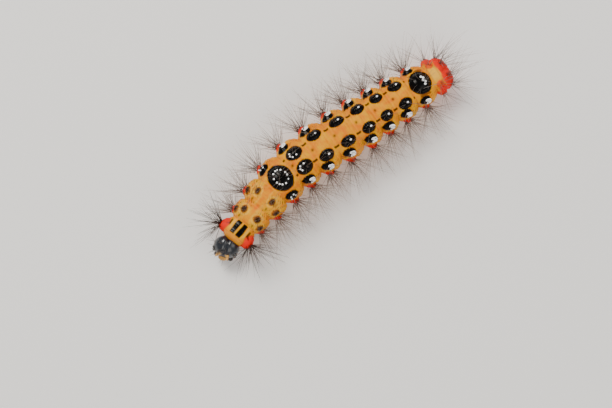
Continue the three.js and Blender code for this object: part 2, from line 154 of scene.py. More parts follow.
def seat_at(s, degrees, side=1, lift=0.0):
    """Place and directions of something set on the skin."""
    angle = math.radians(degrees * side)
    along = section(s)[1][0]
    across = unit(skin_point(s, angle + 0.02)[0] - skin_point(s, angle - 0.02)[0])
    out = unit(np.cross(across, along))
    point = skin_point(s, angle)[0] + out * lift
    return {"point": point, "across": across, "along": along, "out": out,
            "side": side, "s": s, "angle": angle}


def leaning(seat, lean):
    """The same seat with its outward direction leaning along the body."""
    out = unit(seat["out"] + lean * seat["along"])
    return {**seat, "out": out, "along": np.cross(out, seat["across"])}


def lifted(seat, across=0.0, along=0.0, out=0.0):
    """The same seat moved along its own directions, in millimetres."""
    point = seat["point"] + seat["across"] * across + seat["along"] * along + seat["out"] * out
    return {**seat, "point": point}


def frame_shift():
    """From the body's own frame to the row's, in millimetres, found by the head."""
    low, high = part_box("head")
    return (np.array(low) + np.array(high)) / 2 / MM - HEAD_MIDDLE


SHIFT = frame_shift()


def wart_list():
    """Every wart: kind, ring, seat, half width, half length and rise above the skin."""
    warts = []
    for i, (across, along, degrees) in SPOTS.items():
        for _, side in SIDES if degrees else SIDES[:1]:
            warts.append(("spot", i, seat_at(MIDDLES[i], degrees, side), across, along, SPOT_RISE))
    for i, size in enumerate(SIDE_WARTS):
        s = MIDDLES[i] - WART_FORWARD * LENGTHS[i]
        bulge = LOBE_RISE * WIDTHS[i] / 2
        for _, side in SIDES if size else ():
            seat = seat_at(s, SIDE_ANGLE, side, bulge)
            warts.append(("side", i, seat, size * 0.95, size * 1.02, size * 0.62))
            outer = "dull" if i <= THORAX_3 else "outer"
            grow = 0.75 if i <= THORAX_3 else 1.0
            seat = seat_at(s + 0.1, OUTER_ANGLE, side, bulge * 0.4)
            warts.append((outer, i, seat, size * 1.05 * grow, size * 1.3 * grow, 0.24))
            warts.append(("low", i, seat_at(s, LOW_ANGLE, side), size * 0.8, size * 0.8, 0.15))
            if i <= THORAX_3:
                half = 0.34 + 0.08 * (i == THORAX_2)
                warts.append(("dull", i, seat_at(MIDDLES[i] + 0.1, 29 - 3 * i, side), half, 0.42, 0.15))
    for _, side in SIDES:
        for degrees, half, rise in NINTH_WARTS:
            warts.append(("ninth", ABDOMEN_9, seat_at(MIDDLES[ABDOMEN_9], degrees, side), half, half, rise))
        for degrees in TAIL_ANGLES:
            seat = leaning(seat_at(STARTS[ABDOMEN_10] + 0.6, degrees, side), TAIL_LEAN)
            warts.append(("tail", ABDOMEN_10, seat, *TAIL_WART))
        seat = leaning(seat_at(STARTS[THORAX_1] + 0.72, SHOULDER_ANGLE, side, 0.15), -0.55)
        warts.append(("shoulder", THORAX_1, seat, *SHOULDER_HALF))
    return warts


WARTS = wart_list()


def linear(colour):
    """A colour written in sRGB hex as the linear numbers that shaders take."""
    parts = [int(colour[i:i + 2], 16) / 255 for i in (1, 3, 5)]
    return [p / 12.92 if p <= 0.04045 else ((p + 0.055) / 1.055) ** 2.4 for p in parts] + [1.0]


def colour_field(name, colour, description):
    """A colour that a user can change, given in sRGB hex."""
    return FloatVectorProperty(name=name, description=description, subtype="COLOR", size=4, min=0, max=1,
                               default=linear(colour))


def length_field(name, millimetres, description):
    """A length that a user can change, given in millimetres."""
    return FloatProperty(name=name, description=description, default=millimetres * MM, unit="LENGTH",
                         precision=5)


class LarvaSizes(bpy.types.PropertyGroup):
    around: IntProperty(name="Faces around", description="Faces round the body", default=176, min=24,
                        max=220)
    rows: IntProperty(name="Faces along", description="Faces along the body", default=460, min=60,
                      max=500)
    fold: length_field("Fold depth", 0.36, "Depth of the fold between two rings")
    hair_root: length_field("Hair thickness", 0.026, "Radius of one hair at its root")
    side_hair: length_field("Side hairs", 4.4, "Longest hairs of the red side warts")
    outer_hair: length_field("Outer hairs", 3.0, "Hairs of the black outer warts")
    back_hair: length_field("Back hairs", 2.6, "Hairs of the black back warts")
    shoulder_hair: length_field("Shoulder brush", 4.2, "Hairs of the brushes beside the head")
    tail_hair: length_field("Tail hairs", 4.8, "Hairs of the tail end")


class LarvaColours(bpy.types.PropertyGroup):
    orange: colour_field("Orange", "#ea8400", "Body between the warts")
    yellow: colour_field("Yellow", "#f4b000", "Raised middle of each ring")
    cream: colour_field("Cream", "#fcc244", "Edges of the rings")
    # Red of the warts, tail rim and markings, also used as painted shade in the folds and wrinkles
    red: colour_field("Red", "#ee2410", "Side and shoulder warts and tail rim")
    # Brown of the dull warts and specks, also used as painted shade in the folds and the collar's wrinkles
    brown_and_shade: colour_field("Brown", "#6e4322", "Dull warts of the thorax")
    black: colour_field("Black", "#070606", "Back warts")
    # White of the points on the black warts; the same white also makes the painted highlights on the back
    # warts
    white_and_highlight: colour_field("White", "#ffffff", "Points on the black warts")
    hair_base: colour_field("Hair base", "#594740", "Hairs near the skin")
    hair_tip: colour_field("Hair tip", "#b9aba2", "Hairs near the tip")
    # The head's black carries a blue-grey tint, which is a painted reflection of the sky
    horn: colour_field("Head", "#151a24", "Head capsule")
    amber: colour_field("Mouth", "#d9a04c", "Upper lip and feelers")
    leg: colour_field("Legs", "#2a1a12", "True legs")


# Widths of the patterns' grains in millimetres, and the skin's roughness beside and on the warts
CLOUD_MM, SKIN_GRAIN_MM, HORN_GRAIN_MM = 0.9, 0.12, 0.15
BARE_ROUGHNESS, WART_ROUGHNESS = 0.55, 0.16
# The red and brown masks also carry painted shade in the folds and wrinkles
COLOUR_MASKS = ("cream", "brown_and_shade", "red", "black")


def add_node(tree, kind, inputs=None, **settings):
    """Adds a shader node, sets its options and fills or links its inputs."""
    node = tree.nodes.new(kind)
    for key, value in settings.items():
        setattr(node, key, value)
    for key, value in (inputs or {}).items():
        if isinstance(value, bpy.types.NodeSocket):
            tree.links.new(value, node.inputs[key])
        else:
            node.inputs[key].default_value = value
    return node


def new_material(name):
    """A material with its node tree and its surface node."""
    material = bpy.data.materials.new(name)
    material.use_nodes = True
    tree = material.node_tree
    return material, tree, tree.nodes["Principled BSDF"]


def layered(tree, colour, layers):
    """Lays colours over a first one, each by the share stored on the vertices under its name."""
    for name, over in layers:
        share = add_node(tree, "ShaderNodeAttribute", attribute_name=name).outputs["Fac"]
        mix = {0: share, 6: colour, 7: over}
        colour = add_node(tree, "ShaderNodeMix", mix, data_type="RGBA").outputs[2]
    return colour


def uneven(tree, size_mm, detail=3.0):
    """A cloudy pattern on Object coordinates, its grains about size_mm wide."""
    place = add_node(tree, "ShaderNodeTexCoord").outputs["Object"]
    inputs = {"Vector": place, "Scale": 1 / (size_mm * MM), "Detail": detail}
    return add_node(tree, "ShaderNodeTexNoise", inputs).outputs["Fac"]


def roughen(tree, surface, height, depth_mm, strength=1.0):
    """Raises a surface by a pattern, at most depth_mm, so that it breaks up the light."""
    inputs = {"Height": height, "Distance": depth_mm * MM, "Strength": strength}
    relief = add_node(tree, "ShaderNodeBump", inputs)
    tree.links.new(relief.outputs["Normal"], surface.inputs["Normal"])


def skin_material(colours):
    """Moist larva skin: orange flesh clouded with yellow, matt where bare and glossy on black warts."""
    material, tree, surface = new_material("larva_skin")
    clouds = {"Value": uneven(tree, CLOUD_MM), "From Min": 0.35, "From Max": 0.65}
    cloud = add_node(tree, "ShaderNodeMapRange", clouds).outputs["Result"]
    flesh = {0: cloud, 6: colours.orange, 7: colours.yellow}
    flesh = add_node(tree, "ShaderNodeMix", flesh, data_type="RGBA").outputs[2]
    colour = layered(tree, flesh, [(name, getattr(colours, name)) for name in COLOUR_MASKS])
    tree.links.new(colour, surface.inputs["Base Color"])
    black = add_node(tree, "ShaderNodeAttribute", attribute_name="black").outputs["Fac"]
    shine = {"Value": black, "To Min": BARE_ROUGHNESS, "To Max": WART_ROUGHNESS}
    shine = add_node(tree, "ShaderNodeMapRange", shine).outputs["Result"]
    tree.links.new(shine, surface.inputs["Roughness"])
    surface.inputs["Specular IOR Level"].default_value = 0.12
    surface.inputs["Subsurface Weight"].default_value = 0.05
    surface.inputs["Subsurface Radius"].default_value = (1.0, 0.5, 0.2)
    surface.inputs["Subsurface Scale"].default_value = 0.3 * MM
    bare = add_node(tree, "ShaderNodeMath", {0: 1.0, 1: black}, operation="SUBTRACT").outputs[0]
    grain = {0: uneven(tree, SKIN_GRAIN_MM, 2.0), 1: bare}
    grain = add_node(tree, "ShaderNodeMath", grain, operation="MULTIPLY").outputs[0]
    roughen(tree, surface, grain, 0.05, 0.7)
    return material


def plain_material(name, colour, roughness, grain_mm=None, depth_mm=0.01, coat=0.0, painted_glow=0.0):
    """One even finish, with a light grain, a clear coat or a weak painted glow where it has one."""
    material, tree, surface = new_material(name)
    surface.inputs["Base Color"].default_value = colour
    surface.inputs["Roughness"].default_value = roughness
    surface.inputs["Coat Weight"].default_value = coat
    surface.inputs["Emission Color"].default_value = colour
    surface.inputs["Emission Strength"].default_value = painted_glow
    if grain_mm:
        roughen(tree, surface, uneven(tree, grain_mm), depth_mm)
    return material


def horn_material(colours):
    """Glossy black horn of the head, tinted blue-grey as a painted reflection of the sky, with a cream line
    beside the mouth.
    """
    material, tree, surface = new_material("head_horn")
    colour = layered(tree, colours.horn, [("cream", colours.cream)])
    tree.links.new(colour, surface.inputs["Base Color"])
    surface.inputs["Roughness"].default_value = 0.34
    surface.inputs["Coat Weight"].default_value = 0.7
    roughen(tree, surface, uneven(tree, HORN_GRAIN_MM), 0.02)
    return material


def hair_material(colours):
    """Stiff hair, dark where it leaves the skin and paler towards the tip."""
    material, tree, surface = new_material("larva_hair")
    layers = [("hair_tip", colours.hair_tip), ("hair_dark", colours.black)]
    tree.links.new(layered(tree, colours.hair_base, layers), surface.inputs["Base Color"])
    surface.inputs["Roughness"].default_value = 0.4
    return material


def to_row(points):
    """From the body's own frame in millimetres to the scene in metres."""
    return (points + SHIFT) * MM


def coordinates(mesh):
    """The places of a mesh's vertices, one row each."""
    flat = np.empty(len(mesh.vertices) * 3)
    mesh.vertices.foreach_get("co", flat)
    return flat.reshape(-1, 3)


def place_vertices(obj, points):
    """Moves the vertices to points in the body's own frame."""
    obj.data.vertices.foreach_set("co", to_row(points).ravel())
    obj.data.update()


def store(mesh, name, values):
    """Keeps a share from 0 to 1 on each vertex, for the finish to read."""
    layer = mesh.attributes.new(name, "FLOAT", "POINT")
    layer.data.foreach_set("value", np.clip(values, 0, 1).astype(np.float32))


def primitive(operator, name, **options):
    """Adds a primitive at the origin with nothing else selected and gives it a name."""
    bpy.ops.object.select_all(action="DESELECT")
    operator(**options)
    obj = bpy.context.object
    if obj is None:
        raise RuntimeError("no object came of " + name)
    obj.name = obj.data.name = name
    return obj


def dressed(obj, material, replaces=()):
    """Gives a piece its finish, its body and the nodes that it stands for."""
    obj.data.materials.clear()
    obj.data.materials.append(material)
    bpy.ops.object.select_all(action="DESELECT")
    obj.select_set(True)
    bpy.context.view_layer.objects.active = obj
    bpy.ops.object.shade_smooth()
    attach(obj, "root")
    if replaces:
        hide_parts(*replaces)
    return obj


def mesh_object(name, verts, faces):
    """A new object from points in the body's own frame and their faces."""
    mesh = bpy.data.meshes.new(name)
    mesh.from_pydata(to_row(np.asarray(verts)).tolist(), [], faces)
    mesh.update()
    obj = bpy.data.objects.new(name, mesh)
    bpy.context.collection.objects.link(obj)
    return obj


def joined(name, pieces):
    """Several pieces as one object."""
    bpy.ops.object.select_all(action="DESELECT")
    for piece in pieces:
        piece.select_set(True)
    bpy.context.view_layer.objects.active = pieces[0]
    if len(pieces) > 1:
        bpy.ops.object.join()
    pieces[0].name = pieces[0].data.name = name
    return pieces[0]


# Shape of the rings: depths are shares of the body's radius, wrinkles are counted on one ring, and widths,
# lengths and the radius itself are millimetres
RING_CROWN = 0.095
BROAD_WRINKLES, BROAD_DEPTH = 3, 0.013
FINE_WRINKLES, FINE_DEPTH = 8, 0.007
COLLAR_WRINKLE, COLLAR_DEPTH, COLLAR_REACH = 0.42, 0.012, 0.5
TAIL_FILLING = 0.15
GROOVE_ANGLES, GROOVE_WIDTH, GROOVE_DEPTH = (73, 104), 4, 0.022
FOLD_WIDTH = 0.15
BODY_RADIUS = 2.6
FOLD_SHARE = 0.5  # the crowns of the rings give the rest of a fold's depth
WART_ROUNDNESS = 0.55  # power of the warts' profile: 0.5 is a half ellipse, and more is a softer rim

# Warts are marked by kind: red all over, or black out to this many times their own half width
RED_KINDS = ("side", "shoulder", "tail")
BLACK_GROWTH = {"spot": 1.24, "outer": 1.12}
# A groove runs round each wart, at this share of its half width
MOAT_PLACE, MOAT_WIDTH, MOAT_DEPTH, SPOT_MOAT_DEPTH = 1.12, 0.1, 0.03, 0.05
# A wart leaves skin alone that is further from its seat than its reach or deeper under it than its depth,
# and a shoulder wart also skin that is further behind the first ring's front edge than its own reach
WART_REACH, WART_DEPTH, SHOULDER_REACH = 2.6, 1.3, 2.2
AWAY = 9.0  # distance given to skin that is left alone


def is_hind(ring):
    """True on the eight rings of the hind body that carry side warts."""
    return (ring > THORAX_3) & (ring < ABDOMEN_9)


def ring_share(s, fold):
    """Share of the full radius at s, with a fold between rings and finer wrinkles on each."""
    lengths = np.array(LENGTHS)
    i = np.clip(np.searchsorted(STARTS, s, side="right") - 1, 0, len(LENGTHS) - 1)
    t = np.clip((s - STARTS[i]) / lengths[i], 0, 1)
    edge = np.minimum(t, 1 - t) * lengths[i]
    share = 1 - RING_CROWN * np.abs(2 * t - 1) ** 3 - fold * np.exp(-(edge / FOLD_WIDTH) ** 2)
    share -= BROAD_DEPTH * (1 - np.cos(TURN * BROAD_WRINKLES * t)) * is_hind(i)
    share -= FINE_DEPTH * (1 - np.cos(TURN * FINE_WRINKLES * t)) * (i < ABDOMEN_9)
    collar = s < STARTS[THORAX_1] + COLLAR_REACH
    share -= COLLAR_DEPTH * (1 - np.cos(TURN * (s - NECK) / COLLAR_WRINKLE)) * collar
    share += TAIL_FILLING * np.exp(-((s - STARTS[ABDOMEN_10]) / 0.34) ** 2)
    share = np.where(i == ABDOMEN_10, share * np.sqrt(np.maximum(0, 1 - t ** 2.6)), share)
    neck = np.clip((s - NECK) / (STARTS[THORAX_1] + 0.3 - NECK), 0, 1)
    return share * np.sqrt(1 - (1 - neck) ** 2.4), i, t


def wart_distance(points, seat, half_across, half_along):
    """1 at the rim of a wart, 0 at its middle, large away from it."""
    offset = points - seat["point"]
    d = np.hypot(offset @ seat["across"] / half_across, offset @ seat["along"] / half_along)
    near = (offset @ seat["out"] > -WART_DEPTH) & (np.linalg.norm(offset, axis=1) < WART_REACH)
    return np.where(near, d, AWAY)


def shape_skin(obj, sizes):
    """Moves a unit sphere's vertices to the body, with its warts, and stores the markings."""
    p = coordinates(obj.data)
    level = np.arccos(np.clip(p[:, 2], -1, 1)) / math.pi
    s = NECK + (BODY_END - NECK) * level
    angle = np.arctan2(p[:, 0], p[:, 1])
    degrees = np.degrees(np.abs(angle))
    share, ring, t = ring_share(s, sizes.fold / MM / BODY_RADIUS * FOLD_SHARE)
    pole = np.hypot(p[:, 0], p[:, 1]) < 1e-5
    share = np.where(pole, 0, share)
    grooves = sum(np.exp(-((degrees - middle) / GROOVE_WIDTH) ** 2) for middle in GROOVE_ANGLES)
    share = share * (1 - GROOVE_DEPTH * grooves)
    lobe = np.clip(1 - ((degrees - LOBE_ANGLE) / LOBE_REACH) ** 2, 0, 1) * (1 - (2 * t - 1) ** 2)
    lobe = LOBE_RISE * lobe * (np.array(SIDE_WARTS)[ring] > 0)
    points = skin_point(s, angle, share * (1 + lobe))
    full = skin_point(s, angle, 1 + lobe)
    marks = Marks(ring, t, s, angle, share)
    for mark in (mark_folds, mark_sides, mark_back, mark_first_ring, mark_thorax, mark_tail):
        mark(marks)
    moved = np.zeros_like(points)
    for kind, _, seat, across, along, rise in WARTS:
        d = wart_distance(full, seat, across, along) * (1 + 0.05 * marks.wave)
        if kind == "shoulder":
            d = np.where(s > STARTS[THORAX_1] + SHOULDER_REACH, AWAY, d)
        height = rise * np.clip(1 - d ** 2, 0, 1) ** WART_ROUNDNESS
        moat = SPOT_MOAT_DEPTH if kind == "spot" else MOAT_DEPTH
        height -= moat * spot_at(d, MOAT_PLACE, MOAT_WIDTH)
        moved += height[:, None] * seat["out"]
        mark_wart(marks, kind, d, rise)
    place_vertices(obj, points + moved)
    for name, values in marks.masks.items():
        store(obj.data, name, values)


def band(value, low, high, soft):
    """1 between two limits, with soft edges."""
    return smooth(value, low - soft, low + soft) * (1 - smooth(value, high - soft, high + soft))


def spot_at(value, middle, half, power=2):
    """1 at a middle, falling away beyond a half width, and more squarely with a higher power."""
    return np.exp(-((value - middle) / half) ** power)


class Marks:
    """How much of each colour the skin's vertices have, and the places that the markings go by.

    t runs from 0 to 1 along each ring and edge from 0 at its middle to 1 at its folds. degrees runs
    from the top, beside is the distance from the midline in millimetres, and wave makes edges uneven.
    """

    def __init__(self, ring, t, s, angle, share):
        self.ring, self.t, self.s = ring, t, s
        self.degrees = np.degrees(np.abs(angle))
        self.edge = np.abs(2 * t - 1)
        self.wave = 0.25 * np.sin(7 * angle + 2.1 * s) + 0.2 * np.sin(13 * angle - 3.7 * s)
        lateral = np.sin(angle) * section(s)[3] * np.maximum(share, 0.6)
        self.beside = np.abs(lateral)
        grain = np.sin(8.3 * s + 11 * lateral) * np.sin(self.degrees / 2.1 + 5 * self.wave)
        self.specks = smooth(grain, 0.6, 0.85)
        self.masks = {name: np.zeros(len(s)) for name in COLOUR_MASKS}

    def paint(self, name, where, amount=1.0):
        """Adds a colour where the share is above 0, up to an amount."""
        self.masks[name] = np.maximum(self.masks[name], np.clip(where, 0, 1) * amount)


def mark_folds(marks):
    """Paler ring edges, and painted shade: redder and browner folds, and faint red bands in the troughs of
    the broad wrinkles on the hind rings.
    """
    edge, wave, degrees = marks.edge, marks.wave, marks.degrees
    behind_first = marks.ring > THORAX_1
    marks.paint("cream", smooth(edge + 0.1 * wave, 0.8, 1.0) * (degrees < 80), 0.22)
    # Red in the folds between rings, and brown in them on the flanks: painted shade in the creases
    marks.paint("red", smooth(edge, 0.9, 1.0) * behind_first, 0.25)
    marks.paint("brown_and_shade", smooth(edge, 0.93, 1.0) * smooth(degrees, 24, 50) * behind_first, 0.4)
    # Red bands in the troughs of the broad wrinkles: painted shade
    bands = 0.5 - 0.5 * np.cos(TURN * BROAD_WRINKLES * marks.t)
    marks.paint("red", bands * is_hind(marks.ring), 0.12)


def mark_sides(marks):
    """Pale stripes above and below the side warts, a rosy one between, and dark specks above."""
    ring, degrees, wave = marks.ring, marks.degrees, marks.wave
    hind = is_hind(ring)
    marks.paint("cream", band(degrees, 66, 84, 4) * band(marks.t, 0.1, 0.9, 0.1) * hind, 0.4)
    marks.paint("cream", band(degrees, 98, 112, 4), 0.25)
    rosy = band(degrees, 88, 100, 5) * (ring > THORAX_1) * (ring < ABDOMEN_9)
    marks.paint("red", rosy * (0.6 + 0.4 * np.sign(wave)), 0.4)
    specks = marks.specks * band(degrees, 48, 86, 6) * (ring > THORAX_1) * (ring < ABDOMEN_10)
    marks.paint("brown_and_shade", specks, 0.7)
    smudges = band(degrees, 66, 72, 2) * (wave > 0.1) * smooth(marks.edge, 0.5, 0.8)
    marks.paint("black", smudges * hind, 0.5)


def mark_back(marks):
    """A broken red line on the midline, and black dashes and dots between the paired warts."""
    ring, t = marks.ring, marks.t
    thorax = (ring == THORAX_2) | (ring == THORAX_3)
    front = ((ring == ABDOMEN_1) & (t > 0.86)) | ((ring == ABDOMEN_2) & (t < 0.3))
    rear = (ring == ABDOMEN_6) | (ring == ABDOMEN_7)
    rear = rear | ((ring == ABDOMEN_8) & ((t < 0.08) | (t > 0.92)))
    line = spot_at(marks.beside, 0, 0.17) * (thorax | front | rear)
    marks.paint("red", line * smooth(marks.wave, -0.4, 0.2), 0.35)
    pair = (ring > ABDOMEN_1) & (ring < ABDOMEN_8)
    dash = spot_at(marks.beside, 0.97, 0.12, 4) * smooth(marks.edge + 0.1 * marks.wave, 0.76, 0.84)
    marks.paint("black", dash * pair, 0.95)
    marks.paint("black", spot_at(marks.beside, 0, 0.12) * spot_at(t, 0.14, 0.05) * pair, 0.95)
    beside_last = band(marks.degrees, 30, 44, 3) * band(t, 0.2, 0.85, 0.05) * (marks.wave > -0.1)
    marks.paint("black", beside_last * (ring == ABDOMEN_8), 0.7)


def mark_first_ring(marks):
    """Two black bars with a pale patch and a small black mark beside each, and the collar with painted
    shade in its wrinkles.
    """
    t, front = marks.t, marks.ring == THORAX_1
    wide = marks.beside + 0.12 * marks.wave
    marks.paint("black", front * band(wide, 0.09, 0.6, 0.05) * band(t, 0.2, 1.1, 0.04))
    marks.paint("cream", front * band(wide, 0.7, 0.98, 0.06) * band(t, 0.35, 0.95, 0.06), 0.7)
    marks.paint("black", front * band(wide, 1.05, 1.3, 0.05) * band(t, 0.5, 0.85, 0.05), 0.85)
    collar = front * (t < 0.2)
    marks.paint("cream", collar, 0.35)
    marks.paint("red", collar, 0.22)
    # Brown in the troughs of the collar's wrinkles: painted shade
    wrinkles = smooth(-np.cos(TURN * (marks.s - NECK) / COLLAR_WRINKLE), 0.5, 1.0)
    near_head = marks.s < STARTS[THORAX_1] + COLLAR_REACH
    marks.paint("brown_and_shade", wrinkles * near_head * (marks.degrees < 100), 0.3)


def mark_thorax(marks):
    """Cream streaks, brown clouds and black specks on the second and third ring."""
    t, degrees, wave = marks.t, marks.degrees, marks.wave
    thorax = (marks.ring == THORAX_2) | (marks.ring == THORAX_3)
    streak = band(marks.beside + 0.25 * wave, 0.26, 0.44, 0.07) * smooth(wave, -0.2, 0.1)
    marks.paint("cream", thorax * streak, 0.5)
    marks.paint("cream", thorax * band(degrees + 8 * wave, 40, 48, 3) * band(t, 0.3, 0.8, 0.1), 0.6)
    marks.paint("brown_and_shade", thorax * band(degrees + 10 * wave, 14, 40, 5) * band(t, 0.44, 0.62, 0.08), 0.5)
    marks.paint("black", thorax * marks.specks * band(degrees, 12, 70, 6), 0.55)
    marks.paint("black", thorax * spot_at(marks.beside, 0.85, 0.1) * spot_at(t, 0.16, 0.06), 0.9)


def mark_tail(marks):
    """A pale back on the ninth ring inside a red arc that runs round the tail end."""
    ring, t, wave = marks.ring, marks.t, marks.wave
    start, end = STARTS[ABDOMEN_9] + 0.15, STARTS[ABDOMEN_10] + 0.15
    marks.paint("cream", spot_at(marks.beside, 0, 0.75, 4) * band(marks.s, start, end, 0.15), 0.85)
    marks.paint("red", (ring == ABDOMEN_10) * smooth(t + 0.1 * wave, 0.02, 0.16))
    sides = smooth(marks.degrees + 8 * wave, 36, 50) * smooth(t, 0.1, 0.4)
    marks.paint("red", (ring == ABDOMEN_9) * sides)


def mark_wart(marks, kind, d, rise):
    """Colours of one wart. d is 1 at its rim."""
    rim = 1 - smooth(d, 0.9, 1.06)
    if kind in RED_KINDS:
        marks.paint("red", 1 - smooth(d, 0.95, 1.3))
    elif kind in BLACK_GROWTH:
        marks.paint("black", 1 - smooth(d / BLACK_GROWTH[kind], 0.94, 1.04))
    elif kind == "ninth":
        marks.paint("red", rim, 0.6 + rise)
    elif kind == "dull":
        marks.paint("cream", spot_at(d, 1.4, 0.22), 0.8)
        marks.paint("brown_and_shade", rim, 0.95)
        marks.paint("black", 1 - smooth(d + 0.3 * marks.wave, 0.45, 0.8), 0.8)
    elif kind == "low":
        marks.paint("brown_and_shade", rim, 0.6)


PROLEG_RADIUS, PROLEG_WAIST, PROLEG_FOOT = 0.62, 0.2, 0.12
PROLEG_OUT, CLASPER_OUT, CLASPER_BACK = 1.3, 0.8, -0.1
# From the top of a soft leg to its sole: share of its way outwards and height over the floor
PROLEG_LEAN = ([0, 0.5, 0.8, 1], [0.72, 0.95, 1, 1])
PROLEG_HEIGHT = ([0, 0.5, 0.84, 1], [1.9, 0.85, 0.3, 0.0])


def proleg_object(i, side, outwards, back):
    """A soft leg: a stalk with a wider foot whose sole is flat on the floor."""
    centre, along, left = (v[0] for v in section(MIDDLES[i])[:3])
    leg = primitive(bpy.ops.mesh.primitive_cylinder_add, "proleg", vertices=28, radius=1, depth=1,
                    end_fill_type="TRIFAN")
    bpy.ops.object.mode_set(mode="EDIT")
    bpy.ops.mesh.select_all(action="SELECT")
    bpy.ops.mesh.subdivide(number_cuts=3)
    bpy.ops.object.mode_set(mode="OBJECT")
    p = coordinates(leg.data)
    t = 0.5 - p[:, 2]
    radius = PROLEG_RADIUS - PROLEG_WAIST * np.sin(t * math.pi * 0.75)
    radius = radius + PROLEG_FOOT * smooth(t, 0.72, 0.95)
    radius = radius * (1 + 0.03 * np.cos(TURN * 4 * t))
    out = outwards * np.interp(t, *PROLEG_LEAN)
    z = np.interp(t, *PROLEG_HEIGHT)
    place_vertices(leg, np.array([centre[0], centre[1], 0]) + np.stack([0 * z, 0 * z, z], -1)
                   + (out * side + p[:, 0] * radius)[:, None] * left
                   + (back + p[:, 1] * radius)[:, None] * along)
    for name in COLOUR_MASKS:
        store(leg.data, name, np.where(t > 0.8, 0.35, 0.0) if name == "brown_and_shade" else 0 * t)
    return leg


class LARVA_OT_skin(bpy.types.Operator):
    """One skin for all rings, warts and soft legs"""
    bl_idname = "larva.skin"
    bl_label = "Skin"

    def execute(self, context):
        sizes, colours = context.scene.larva_sizes, context.scene.larva_colours
        skin = primitive(bpy.ops.mesh.primitive_uv_sphere_add, "larva_skin", segments=sizes.around,
                         ring_count=sizes.rows, radius=1)
        shape_skin(skin, sizes)
        legs = [proleg_object(i, side, PROLEG_OUT, 0.0) for i in PROLEG_RINGS for _, side in SIDES]
        legs += [proleg_object(ABDOMEN_10, side, CLASPER_OUT, CLASPER_BACK) for _, side in SIDES]
        skin = joined("larva_skin", [skin] + legs)
        nodes = RING_NAMES + ["shoulder_wart_left", "shoulder_wart_right", "back_wart_1", "back_wart_8"]
        nodes += ["back_wart_%d_%s" % (i, name) for i in range(2, 8) for name, _ in SIDES]
        nodes += ["proleg_%d_%s" % (i, name) for i in (3, 4, 5, 6, 10) for name, _ in SIDES]
        dressed(skin, skin_material(colours), nodes)
        return {"FINISHED"}


def dots_on(kind, i, side):
    """White points of one wart, and on some back warts a painted highlight: shares of its half width and
    length, and the points' own half sizes.
    """
    if kind == "spot" and i == ABDOMEN_1:
        turns = [TURN * k / 12 + 0.15 * math.sin(5 * k) for k in range(12)]
        return [(0.66 * math.sin(turn), 0.66 * math.cos(turn), 0.105, 0.105) for turn in turns]
    if kind == "spot" and i == ABDOMEN_8:
        return [((k - 2) * 0.2, 0.32 + 0.14 * (k % 2), 0.13, 0.13) for k in range(5)]
    if kind == "spot" and i == ABDOMEN_2:
        places = ((-0.6, -0.5), (-0.25, -0.72), (0.1, -0.6), (-0.66, 0.1))
        return [(x * side, y, 0.1, 0.1) for x, y in places]
    # The back warts of the third to seventh hind rings get one white point each at the same place: a
    # painted highlight
    if kind == "spot":
        return [(-0.2 * side, 0.3, 0.1, 0.13)]
    if kind == "outer" and i == ABDOMEN_1:
        places = ((-0.4, -0.4), (0.1, -0.5), (-0.45, 0.2), (0.1, 0.35))
        return [(x * side, y, 0.1, 0.1) for x, y in places]
    if kind == "outer":
        patch = ((0.1, 0.5, 0.36, 0.28), (-0.4, 0.2, 0.16, 0.2), (0.42, 0.1, 0.13, 0.16))
        return [(x * side, y, wide, long) for x, y, wide, long in patch]
    return []


def white_points_and_highlights():
    """Every white point, the painted highlights among them: its wart's seat, half sizes and rise, then its
    own place and half sizes.
    """
    return [(seat, across, along, rise) + dot for kind, i, seat, across, along, rise in WARTS
            for dot in dots_on(kind, i, seat["side"])]


POINT_HEIGHT = 0.06


class LARVA_OT_points(bpy.types.Operator):
    """Small white points that stand on the black warts, painted highlights among them"""
    bl_idname = "larva.points"
    bl_label = "White points"

    def execute(self, context):
        ball = primitive(bpy.ops.mesh.primitive_uv_sphere_add, "point", segments=12, ring_count=8,
                         radius=1)
        shape = coordinates(ball.data)
        faces = [tuple(f.vertices) for f in ball.data.polygons]
        bpy.data.objects.remove(ball)
        verts, all_faces = [], []
        for seat, across, along, rise, x, y, wide, long in white_points_and_highlights():
            d = math.hypot(x, y)
            height = rise * (1 - d * d) ** WART_ROUNDNESS
            base = lifted(seat, x * across, y * along, height - 0.01 - curve_drop(seat, x * across))
            start = sum(map(len, verts))
            verts.append(base["point"] + shape[:, :1] * wide * seat["across"]
                         + shape[:, 1:2] * long * seat["along"] + shape[:, 2:] * POINT_HEIGHT * seat["out"])
            all_faces += [tuple(v + start for v in f) for f in faces]
        obj = mesh_object("white_points_and_highlights", np.vstack(verts), all_faces)
        # Chalky white horn of the hair sockets, which also makes the painted highlights of the back warts.
        # A weak painted glow keeps it white beside the black
        white_and_highlight = plain_material("white_horn_with_painted_glow", context.scene.larva_colours.white_and_highlight, 0.35, painted_glow=0.35)
        dressed(obj, white_and_highlight)
        return {"FINISHED"}


def curve_drop(seat, across):
    """How far the body's section falls away under a point beside a seat."""
    radius = section(seat["s"])[3][0]
    return radius - math.sqrt(max(0, radius ** 2 - across ** 2))


SHORTEST = 0.35  # a tuft's hair lengths are drawn from this share of the longest upwards


